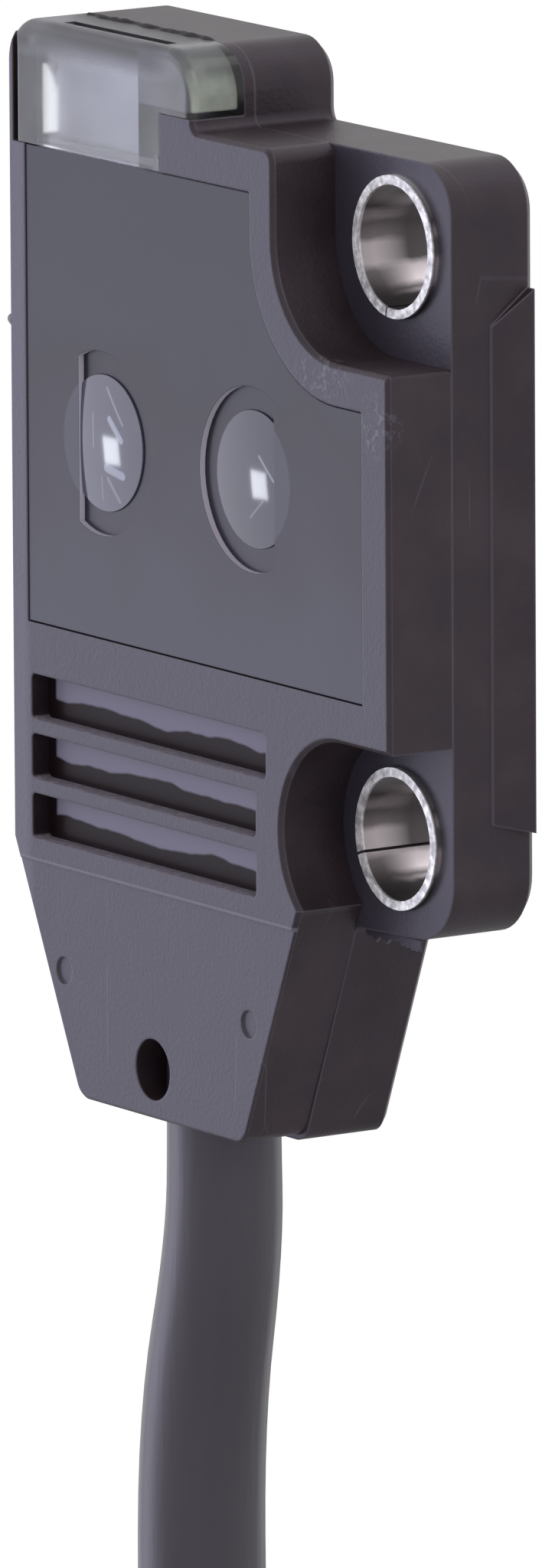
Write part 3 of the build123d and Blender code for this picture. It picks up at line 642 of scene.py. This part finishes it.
# Painted reflection of the lamp: the plate's colour over its height, its edge wavering.
reflection_z = (-4.0 * mm, 9.0 * mm)
reflection_drift = 1.6 * mm
smoke_and_reflection_tones = (
    (0.0, (0.040, 0.039, 0.060)),
    (0.22, (0.026, 0.023, 0.034)),
    (0.55, (0.012, 0.009, 0.014)),
    (0.68, (0.017, 0.017, 0.029)),
    (1.0, (0.012, 0.012, 0.022)),
)
ghost_r = (lens_r + 0.02 * mm, lens_r - 0.05 * mm)
ghost_share = 0.8
ghost_tone = (0.068, 0.066, 0.094)
wall_turn = (-0.6, -0.3)
# Side walls painted lighter, as painted light.
wall_light_tone = (0.20, 0.19, 0.24)
recesses_x = (lens_centres["emitter_lens"].x + lens_centres["receiver_lens"].x) / 2
recesses_half_width, recesses_fade = 6.8 * mm, 0.1 * mm
# Bright lips of the lens recesses, a painted highlight.
lit_lip_y = (plate_front + 0.18 * mm, plate_front + 0.16 * mm)
lip_highlight_tone = (0.60, 0.57, 0.68)
# Edges painted lighter, a painted highlight.
plate_edge_light_share = 0.35
plate_edge_light_tone = (0.12, 0.12, 0.16)


def seen_from_front(tree, place, centre):
    """Offset of a place from a centre, across and up, without its depth."""
    away = vector_math(tree, "SUBTRACT", place, centre)["Vector"]
    return vector_math(tree, "MULTIPLY", away, (1.0, 0.0, 1.0))["Vector"]


smoke, tree, shader, place = start_material("smoked_window")
axes = axes_of(tree, place)
grain = use_group(tree, grain_group, Place=place, Fineness=3000.0, Depth=0.05, Rounding=0.04 * mm)
cloud = step_up(tree, noise(tree, place, 210.0), 0.3, 0.7, -reflection_drift, reflection_drift)
level = compute(tree, "ADD", axes["Z"], cloud)
# The plate's own dark colour with a painted reflection, lighter towards the bottom.
plate = shades(tree, step_up(tree, level, *reflection_z), *smoke_and_reflection_tones)
for centre in lens_centres.values():
    reach = vector_math(tree, "LENGTH", seen_from_front(tree, place, centre))["Value"]
    ghost = overlap(tree, step_up(tree, reach, *ghost_r), ghost_share)
    plate = blend(tree, ghost, plate, ghost_tone)
wall = step_up(tree, facing_of(tree)["Y"], *wall_turn)
lit_lip = overlap(
    tree,
    band(tree, axes["X"], recesses_x, recesses_half_width, recesses_fade),
    wall,
    step_up(tree, axes["Y"], *lit_lip_y),
)
# Side walls painted lighter, as painted light.
plate = blend(tree, wall, plate, wall_light_tone)
# Bright lips of the lens recesses, a painted highlight.
plate = blend(tree, lit_lip, plate, lip_highlight_tone)
# Edges painted lighter, a painted highlight.
plate = blend(tree, overlap(tree, grain["Edge"], plate_edge_light_share), plate, plate_edge_light_tone)
set_shader(
    shader,
    Base_Color=plate,
    Normal=grain["Normal"],
    Roughness=0.34,
    Specular_IOR_Level=0.28,
    Specular_Tint=(0.86, 0.86, 1.0, 1),
)
paint("optical_window", smoke)

# Lenses: two moulded domes of hazy blue-grey filter plastic, polished and seated in the plate. Pale
# streaks are painted on them as reflections of the parts behind, each given from the lens centre,
# across and up, by its start, its end and its width in millimetres, and by its strength.
dome_rise = 0.1 * mm
dome_rings = 12
dome_tones = {
    "emitter_lens": ((0.080, 0.080, 0.120), (0.115, 0.115, 0.170)),
    "receiver_lens": ((0.026, 0.026, 0.048), (0.044, 0.044, 0.076)),
}
# Colour of the painted reflections in the lenses.
reflection_streak_tone = (0.42, 0.44, 0.56)
reflection_streaks = {
    "emitter_lens": (
        ((0.17, 1.54), (0.97, 0.61), 0.035, 0.55),
        ((0.35, 0.70), (0.91, 0.18), 0.09, 0.9),
        ((-0.47, 0.76), (-0.42, -0.14), 0.03, 0.4),
        ((0.20, -0.65), (0.95, -0.79), 0.11, 0.8),
        ((-0.05, -0.92), (-0.06, -1.55), 0.03, 0.3),
        ((0.26, -0.95), (0.75, -1.51), 0.06, 0.35),
    ),
    "receiver_lens": (
        ((0.31, 0.67), (0.98, 0.08), 0.04, 0.55),
        ((1.13, 0.85), (1.12, -0.52), 0.05, 0.8),
        ((0.47, -0.54), (-0.14, -1.04), 0.035, 0.3),
    ),
}

streak_group, streak_in, streak_out = start_group(
    "streak",
    [
        ("Place", "NodeSocketVector", None),
        ("Start", "NodeSocketVector", None),
        ("Run", "NodeSocketVector", None),
        ("Width", "NodeSocketFloat", 0.05 * mm),
    ],
    [("Mask", "NodeSocketFloat")],
)
run = streak_in.outputs["Run"]
flat = seen_from_front(streak_group, streak_in.outputs["Place"], streak_in.outputs["Start"])
along = vector_math(streak_group, "DOT_PRODUCT", flat, run)["Value"]
whole = vector_math(streak_group, "DOT_PRODUCT", run, run)["Value"]
share = compute(streak_group, "DIVIDE", along, whole, use_clamp=True)
foot = add_node(streak_group, "ShaderNodeVectorMath", {0: run, "Scale": share}, operation="SCALE")
beside = vector_math(streak_group, "DISTANCE", flat, foot.outputs["Vector"])["Value"]
widths_away = compute(streak_group, "DIVIDE", beside, streak_in.outputs["Width"])
fill(streak_out, {"Mask": step_up(streak_group, widths_away, 1.3, 0.8)})

for name, centre in lens_centres.items():
    dome, tree, shader, place = start_material(name + "_dome")
    dark, pale = dome_tones[name]
    body = shades(tree, noise(tree, place, 700.0), (0.0, dark), (1.0, pale))
    for (start_x, start_z), (end_x, end_z), width, amount in reflection_streaks[name]:
        streak = use_group(
            tree, streak_group, Place=place,
            Start=(centre.x + start_x * mm, 0.0, centre.z + start_z * mm),
            Run=((end_x - start_x) * mm, 0.0, (end_z - start_z) * mm),
            Width=width * mm,
        )
        # Painted reflection: a pale streak.
        body = blend(tree, overlap(tree, streak["Mask"], amount), body, reflection_streak_tone)
    set_shader(shader, Base_Color=body, Roughness=0.06, Specular_IOR_Level=0.5)

    low, high = lens_boxes[name]
    curve_r = (lens_r ** 2 + dome_rise ** 2) / (2 * dome_rise)
    bpy.ops.object.select_all(action="DESELECT")
    bpy.ops.mesh.primitive_circle_add(
        vertices=96, radius=lens_r, fill_type="NGON",
        location=(centre.x, low.y + dome_rise, centre.z), rotation=(radians(90), 0, 0),
    )
    lens = bpy.context.object
    lens.name = name.replace("lens", "dome")
    bpy.ops.object.transform_apply(location=True, rotation=True, scale=True)
    bpy.ops.object.mode_set(mode="EDIT")
    bpy.ops.mesh.select_mode(type="FACE")
    bpy.ops.mesh.select_all(action="SELECT")
    radii = [lens_r * (1 - ring / dome_rings) for ring in range(dome_rings)]
    rises = [(curve_r ** 2 - radius ** 2) ** 0.5 for radius in radii]
    for ring in range(1, dome_rings):
        bpy.ops.mesh.inset(thickness=radii[ring - 1] - radii[ring], depth=rises[ring] - rises[ring - 1])
    bpy.ops.mesh.poke(offset=curve_r - rises[-1])
    bpy.ops.mesh.select_mode(type="EDGE")
    bpy.ops.mesh.select_all(action="DESELECT")
    bpy.ops.mesh.select_non_manifold()
    skirt = high.y - low.y - dome_rise
    bpy.ops.mesh.extrude_region_move(TRANSFORM_OT_translate={"value": (0, skirt, 0)})
    bpy.ops.mesh.edge_face_add()
    bpy.ops.mesh.select_all(action="SELECT")
    bpy.ops.mesh.normals_make_consistent(inside=False)
    bpy.ops.object.mode_set(mode="OBJECT")
    bpy.ops.object.shade_smooth_by_angle(angle=radians(30))
    lens.data.materials.append(dome)
    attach(lens, "root")
    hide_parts(name)

# Clear cap: polycarbonate hood let into the top corner, with the pale tray of the lights behind it.
# Moulding haze greys it. Its roof is rougher and darker, a painted shade. Its left end shows the
# dark housing, and its right end is grey-green.
cap_left, cap_right = (corner.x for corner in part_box("indicator_cap"))
dark_end_x = (cap_left + 1.22 * mm, cap_left + 1.12 * mm)
green_end_x = (cap_right - 1.9 * mm, cap_right - 1.3 * mm)
roof_x = (-7.4 * mm, -8.9 * mm)
roof_z = (block_top - 1.05 * mm, block_top - 0.55 * mm)
roof_roughness = 0.30
cap_roughness = (0.04, 0.2)
cap_tones = (0.60, 0.61, 0.64), (0.72, 0.73, 0.75)
dark_end_tone = (0.02, 0.014, 0.019)
green_end_tone = (0.58, 0.62, 0.58)
# Darker roof, a painted shade.
roof_shade_tone = (0.34, 0.33, 0.38)
tray_tones = (0.48, 0.48, 0.66), (0.62, 0.62, 0.82)

clear, tree, shader, place = start_material("clear_cap")
axes = axes_of(tree, place)
haze = noise(tree, place, 900.0, 3.0)
# The roof is rougher and painted darker, a painted shade.
roof = overlap(tree, step_up(tree, axes["Z"], *roof_z), step_up(tree, axes["X"], *roof_x))
gloss = step_up(tree, haze, 0.0, 1.0, *cap_roughness)
hood = shades(tree, haze, (0.0, cap_tones[0]), (1.0, cap_tones[1]))
hood = blend(tree, step_up(tree, axes["X"], *dark_end_x), hood, dark_end_tone)
hood = blend(tree, step_up(tree, axes["X"], *green_end_x), hood, green_end_tone)
set_shader(
    shader,
    Base_Color=blend(tree, roof, hood, roof_shade_tone),
    Roughness=compute(tree, "ADD", gloss, overlap(tree, roof, roof_roughness)),
    Transmission_Weight=1.0,
    IOR=1.5,
)
paint("indicator_cap", clear)

tray, tree, shader, place = start_material("tray_plastic")
tray_tone = shades(tree, noise(tree, place, 500.0), (0.0, tray_tones[0]), (1.0, tray_tones[1]))
set_shader(shader, Base_Color=tray_tone, Roughness=0.5)
paint("indicator_tray", tray)

# Light guide: milky grey-green block moulded inside the clear cap's right end, which carries the
# second light round the corner. Its outer top corner is rounded like the cap's. Its outer side is
# milky, painted lighter towards the bottom as a painted glow; its other faces are painted darker,
# a painted shade.
guide_size = Vector((2.50, 1.40, 1.48)) * mm
guide_place = Vector((-8.45, -3.82, 11.60)) * mm
guide_corner = 1.25 * mm
guide_edge = 0.08 * mm
glow_z = (11.9 * mm, 11.0 * mm)
glow_drift = 0.5 * mm
outer_side_turn = (0.35, 0.9)
# Milky colour, painted lighter towards the bottom as a painted glow.
milk_and_glow_tones = (0.27, 0.28, 0.27), (0.84, 0.86, 0.80)
# Darker colour of the guide's other faces, a painted shade.
other_sides_shade_tone = (0.17, 0.17, 0.21)


def new_block(name, centre, size):
    """Box of a size at a centre, made the one chosen object."""
    bpy.ops.object.select_all(action="DESELECT")
    bpy.ops.mesh.primitive_cube_add(size=1, location=centre)
    block = bpy.context.object
    block.name = name
    block.scale = size
    bpy.ops.object.transform_apply(location=True, rotation=True, scale=True)
    return block


def bevel_where(block, offset, segments, chosen):
    """Rounds those edges of the active block whose two ends pass a test."""
    bpy.ops.object.mode_set(mode="EDIT")
    bpy.ops.mesh.select_mode(type="EDGE")
    bpy.ops.mesh.select_all(action="DESELECT")
    bpy.ops.object.mode_set(mode="OBJECT")
    for line in block.data.edges:
        line.select = chosen(*(block.data.vertices[index].co for index in line.vertices))
    bpy.ops.object.mode_set(mode="EDIT")
    bpy.ops.mesh.bevel(offset=offset, segments=segments)
    bpy.ops.object.mode_set(mode="OBJECT")


def round_edges(block, width, segments):
    """Rounds every sharp edge of the active block."""
    rounding = block.modifiers.new("edges", "BEVEL")
    rounding.width = width
    rounding.segments = segments
    rounding.limit_method = "ANGLE"
    bpy.ops.object.modifier_apply(modifier="edges")


milk, tree, shader, place = start_material("guide_milk")
drift = step_up(tree, noise(tree, place, 1400.0), 0.0, 1.0, -glow_drift, glow_drift)
# Painted glow, lighter towards the bottom.
painted_glow = step_up(tree, compute(tree, "ADD", axes_of(tree, place)["Z"], drift), *glow_z)
milky = blend(tree, painted_glow, *milk_and_glow_tones)
# Only the outer side is milky; the other faces are painted darker, a painted shade.
outer_side = step_up(tree, facing_of(tree)["X"], *outer_side_turn)
set_shader(shader, Base_Color=blend(tree, outer_side, other_sides_shade_tone, milky), Roughness=0.6)
guide = new_block("light_guide", guide_place, guide_size)
bevel_where(
    guide, guide_corner, 10,
    lambda *ends: all(end.x > guide_place.x and end.z > guide_place.z for end in ends),
)
round_edges(guide, guide_edge, 3)
bpy.ops.object.shade_smooth_by_angle(angle=radians(35))
guide.data.materials.append(milk)
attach(guide, "root")

# Moulding flash: a ragged paper-thin fin of the housing plastic, squeezed out between the mould's
# halves and left along the foot of the lower ear.
flash_x = (-1.9 * mm, 0.75 * mm)
flash_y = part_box("lower_sleeve")[0].y + 0.30 * mm
flash_z = -10.72 * mm
flash_height = 0.1 * mm
flash_thickness = 0.07 * mm
flash_steps = 26
flash_drops = (0.02, 0.06, 0.10, 0.16, 0.34)
drop_share = 0.45
ragged = random.Random(11)
bpy.ops.object.select_all(action="DESELECT")
bpy.ops.mesh.primitive_grid_add(
    x_subdivisions=flash_steps, y_subdivisions=1, size=1,
    location=((flash_x[0] + flash_x[1]) / 2, flash_y, flash_z),
    rotation=(radians(90), 0, 0),
)
flash = bpy.context.object
flash.name = "moulding_flash"
flash.scale = (flash_x[1] - flash_x[0], flash_height, 1)
bpy.ops.object.transform_apply(location=True, rotation=True, scale=True)
drop = 0.0
for corner in sorted(flash.data.vertices, key=lambda vertex: vertex.co.x):
    if corner.co.z < flash_z:
        drop = (1 - drop_share) * drop + drop_share * ragged.choice(flash_drops) * mm
        corner.co.z -= drop
thin = flash.modifiers.new("thickness", "SOLIDIFY")
thin.thickness = flash_thickness
bpy.ops.object.modifier_apply(modifier="thickness")
flash.data.materials.append(housing)
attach(flash, "root")

# Sleeves: bushes rolled from plated steel strip, left open along a seam and pressed into the ears.
# The cut rim is rough and bright. Inside, the plating is brown and blotched, with painted
# reflections as bright and dark bands at the heights given, as shares of the bore: the near ones
# by the rim, the far ones deeper in. The top of each bore fades to white, a painted highlight.
rim_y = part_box("upper_sleeve")[0].y
sleeve_r = 1.9 * mm
hole_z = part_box("upper_sleeve")[0].z + sleeve_r
rim_depth = (rim_y + 0.10 * mm, rim_y + 0.04 * mm)
far_depth = (rim_y + 0.5 * mm, rim_y + 1.6 * mm)
band_waver = 0.12 * mm
rim_tones = (0.46, 0.45, 0.47), (0.92, 0.91, 0.93)
steel_roughness = (0.42, 0.62)
# Painted highlight: the top of each bore fades to white.
top_highlight = (1.0, (1.0, 1.0, 1.0))
# Painted reflections in the bore: shares of its height and their greys.
near_reflection_bands = (
    (0.00, 0.08), (0.14, 0.13), (0.28, 0.26), (0.34, 0.78), (0.47, 0.74), (0.52, 0.26),
    (0.62, 0.20), (0.66, 0.46), (0.70, 0.44), (0.75, 0.13),
)
far_reflection_bands = (
    (0.00, 0.06), (0.12, 0.07), (0.14, 0.50), (0.16, 0.20), (0.20, 0.80), (0.29, 0.66),
    (0.35, 0.10), (0.60, 0.08), (0.72, 0.12), (0.76, 0.40), (0.80, 0.36), (0.84, 0.10),
)
steel, tree, shader, place = start_material("sleeve_steel")
axes = axes_of(tree, place)
blotch = noise(tree, stretched(tree, place, (0.6, 1.0, 1.6)), 1100.0, 3.0)
waver = step_up(tree, blotch, 0.0, 1.0, -band_waver, band_waver)
lower_hole = step_up(tree, axes["Z"], 0.001 * mm, -0.001 * mm)
to_centre = compute(tree, "SUBTRACT", compute(tree, "MULTIPLY", lower_hole, 2 * hole_z), hole_z)
own_height = compute(tree, "ADD", axes["Z"], to_centre)
share_up = step_up(tree, compute(tree, "ADD", own_height, waver), -sleeve_r, sleeve_r)
bore_ends = []
# Painted reflections as bright and dark bands, near the rim and deeper in.
for bands in (near_reflection_bands, far_reflection_bands):
    stops = [(share, (grey, grey * 0.90, grey * 0.94)) for share, grey in bands]
    bore_ends.append(shades(tree, share_up, *stops, top_highlight))
bore = blend(tree, step_up(tree, axes["Y"], *far_depth), *bore_ends)
burr = noise(tree, place, 4200.0, 4.0)
rim_tone = shades(tree, burr, (0.35, rim_tones[0]), (0.65, rim_tones[1]))
rim = step_up(tree, axes["Y"], *rim_depth)
set_shader(
    shader,
    Base_Color=blend(tree, rim, bore, rim_tone),
    Normal=bump(tree, overlap(tree, burr, rim), 0.6, 0.06 * mm),
    Roughness=step_up(tree, rim, 0.0, 1.0, *steel_roughness),
    Metallic=1.0,
)
for name in ("upper_sleeve", "lower_sleeve"):
    paint(name, steel)

# Solder and tinned ends: bright tin with a slightly frosted skin. It wets the wires' bare copper
# strands outside, and holds the inner wires to the board.
tin_tones = (0.42, 0.42, 0.43), (0.70, 0.70, 0.71)
tin_roughness = (0.2, 0.42)
tin, tree, shader, place = start_material("tin")
frost = noise(tree, place, 5200.0, 4.0)
set_shader(
    shader,
    Base_Color=shades(tree, frost, (0.0, tin_tones[0]), (1.0, tin_tones[1])),
    Normal=bump(tree, frost, 0.25, 0.04 * mm),
    Roughness=step_up(tree, frost, 0.0, 1.0, *tin_roughness),
    Metallic=1.0,
)
for name in ("tinned_ends", "solder_joints"):
    paint(name, tin)

# Hank ties: black nylon straps pulled tight round each side of the hank. Each passes through its
# ratchet head at the back, where its end is cut off square.
strap_thickness = 0.8 * mm
strap_corner = 1.6 * mm
strap_edge = 0.12 * mm
ratchet_size = Vector((4.0, 1.9, 4.4)) * mm
ratchet_edge = 0.35 * mm
ratchet_seat = 0.1 * mm
stub_size = Vector((1.0, 1.6, 2.4)) * mm
stub_edge = 0.1 * mm
stub_drop = 0.2 * mm
nylon_tones = (0.018, 0.018, 0.019), (0.040, 0.040, 0.042)
nylon_edge_tone = (0.09, 0.09, 0.10)
nylon, tree, shader, place = start_material("tie_nylon")
grain = use_group(tree, grain_group, Place=place, Fineness=6000.0, Depth=0.15, Rounding=0.04 * mm)
tie_tone = shades(tree, grain["Mottle"], (0.35, nylon_tones[0]), (0.65, nylon_tones[1]))
set_shader(
    shader,
    Base_Color=blend(tree, grain["Edge"], tie_tone, nylon_edge_tone),
    Normal=grain["Normal"],
    Roughness=0.42,
)
for side in ("left", "right"):
    low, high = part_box(side + "_hank_tie")
    strap = new_block(side + "_tie_strap", (low + high) / 2, high - low)
    bevel_where(strap, strap_corner, 8, lambda start, end: abs(start.z - end.z) > strap_thickness)
    bpy.ops.object.mode_set(mode="EDIT")
    bpy.ops.mesh.select_mode(type="FACE")
    bpy.ops.mesh.select_all(action="DESELECT")
    bpy.ops.object.mode_set(mode="OBJECT")
    for face in strap.data.polygons:
        face.select = abs(face.normal.z) > 0.9
    bpy.ops.object.mode_set(mode="EDIT")
    bpy.ops.mesh.delete(type="FACE")
    bpy.ops.object.mode_set(mode="OBJECT")
    wall = strap.modifiers.new("wall", "SOLIDIFY")
    wall.thickness = strap_thickness
    wall.offset = -1
    bpy.ops.object.modifier_apply(modifier="wall")
    round_edges(strap, strap_edge, 2)
    middle = (low + high) / 2
    ratchet_centre = Vector((middle.x, high.y + ratchet_size.y / 2 - ratchet_seat, middle.z))
    stub_centre = ratchet_centre + Vector((ratchet_size.x / 2, -stub_drop, 0))
    ratchet = new_block(side + "_ratchet", ratchet_centre, ratchet_size)
    round_edges(ratchet, ratchet_edge, 3)
    stub = new_block(side + "_stub", stub_centre, stub_size)
    round_edges(stub, stub_edge, 3)
    for piece in (stub, ratchet, strap):
        piece.select_set(True)
    bpy.context.view_layer.objects.active = strap
    bpy.ops.object.join()
    bpy.ops.object.shade_smooth_by_angle(angle=radians(35))
    strap.data.materials.clear()
    strap.data.materials.append(nylon)
    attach(strap, "root")
    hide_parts(side + "_hank_tie")

# Potting: black resin poured into the lower half, glossy. Along the top of each slot it carries a
# pale band with a wavy lower edge, a painted reflection.
slot_top = -5.45 * mm
slot_pitch = 1.65 * mm
# Painted reflection: a pale band at the top of each slot with a wavy lower edge.
reflection_share = (0.30, 0.52)
reflection_waves_per_metre = 260.0
reflection_fade = 0.02
reflection_left = (-14.7 * mm, -14.6 * mm)
resin_tone = (0.016, 0.009, 0.011)
resin_reflection_tone = (0.265, 0.250, 0.335)
resin, tree, shader, place = start_material("potting_resin")
axes = axes_of(tree, place)
slots_down = compute(tree, "DIVIDE", compute(tree, "SUBTRACT", slot_top, axes["Z"]), slot_pitch)
waves = add_node(tree, "ShaderNodeCombineXYZ", {
    "X": compute(tree, "MULTIPLY", axes["X"], reflection_waves_per_metre),
    "Y": compute(tree, "FLOOR", slots_down),
})
reflection_foot = step_up(tree, noise(tree, waves.outputs["Vector"], 1.0, 3.0), 0.3, 0.7, *reflection_share)
below_reflection = compute(tree, "SUBTRACT", compute(tree, "FRACT", slots_down), reflection_foot)
# Painted reflection at the top of each slot.
sheen = overlap(
    tree, step_up(tree, below_reflection, reflection_fade, -reflection_fade), step_up(tree, axes["X"], *reflection_left),
)
set_shader(
    shader,
    Base_Color=blend(tree, sheen, resin_tone, resin_reflection_tone),
    Roughness=0.35,
    Specular_IOR_Level=0.06,
    Specular_Tint=(0.8, 0.76, 0.85, 1),
)
paint("potting", resin)

# Circuit board and what stands on it: green laminate, black packages, brown and pale chip parts,
# all soldered flat, and the light barrier and cord grip moulded in black. Each has two tones and
# a roughness.
inner_finishes = {
    "circuit_board": ((0.020, 0.110, 0.045), (0.030, 0.160, 0.070), 0.35),
    "light_barrier": ((0.012, 0.012, 0.013), (0.022, 0.022, 0.024), 0.55),
    "control_chip": ((0.015, 0.015, 0.016), (0.030, 0.030, 0.032), 0.5),
    "output_driver": ((0.015, 0.015, 0.016), (0.030, 0.030, 0.032), 0.5),
    "chip_capacitors": ((0.230, 0.130, 0.070), (0.330, 0.200, 0.110), 0.45),
    "chip_resistors": ((0.020, 0.020, 0.024), (0.040, 0.040, 0.046), 0.4),
    "emitter_led": ((0.300, 0.300, 0.340), (0.420, 0.420, 0.470), 0.2),
    "receiver_diode": ((0.030, 0.012, 0.018), (0.060, 0.022, 0.032), 0.2),
    "stability_led": ((0.120, 0.500, 0.160), (0.220, 0.620, 0.260), 0.25),
    "output_led": ((0.700, 0.280, 0.040), (0.800, 0.380, 0.080), 0.25),
    "cord_grip": ((0.025, 0.024, 0.026), (0.045, 0.044, 0.046), 0.6),
}
for name, (dark, pale, roughness) in inner_finishes.items():
    finish, tree, shader, place = start_material(name + "_finish")
    grain = use_group(tree, grain_group, Place=place, Fineness=6000.0, Depth=0.15, Rounding=0.04 * mm)
    set_shader(
        shader,
        Base_Color=shades(tree, grain["Mottle"], (0.35, dark), (0.65, pale)),
        Normal=grain["Normal"],
        Roughness=roughness,
    )
    paint(name, finish)
for colour, skin in wire_skins.items():
    paint(colour + "_inner_wire", skin)
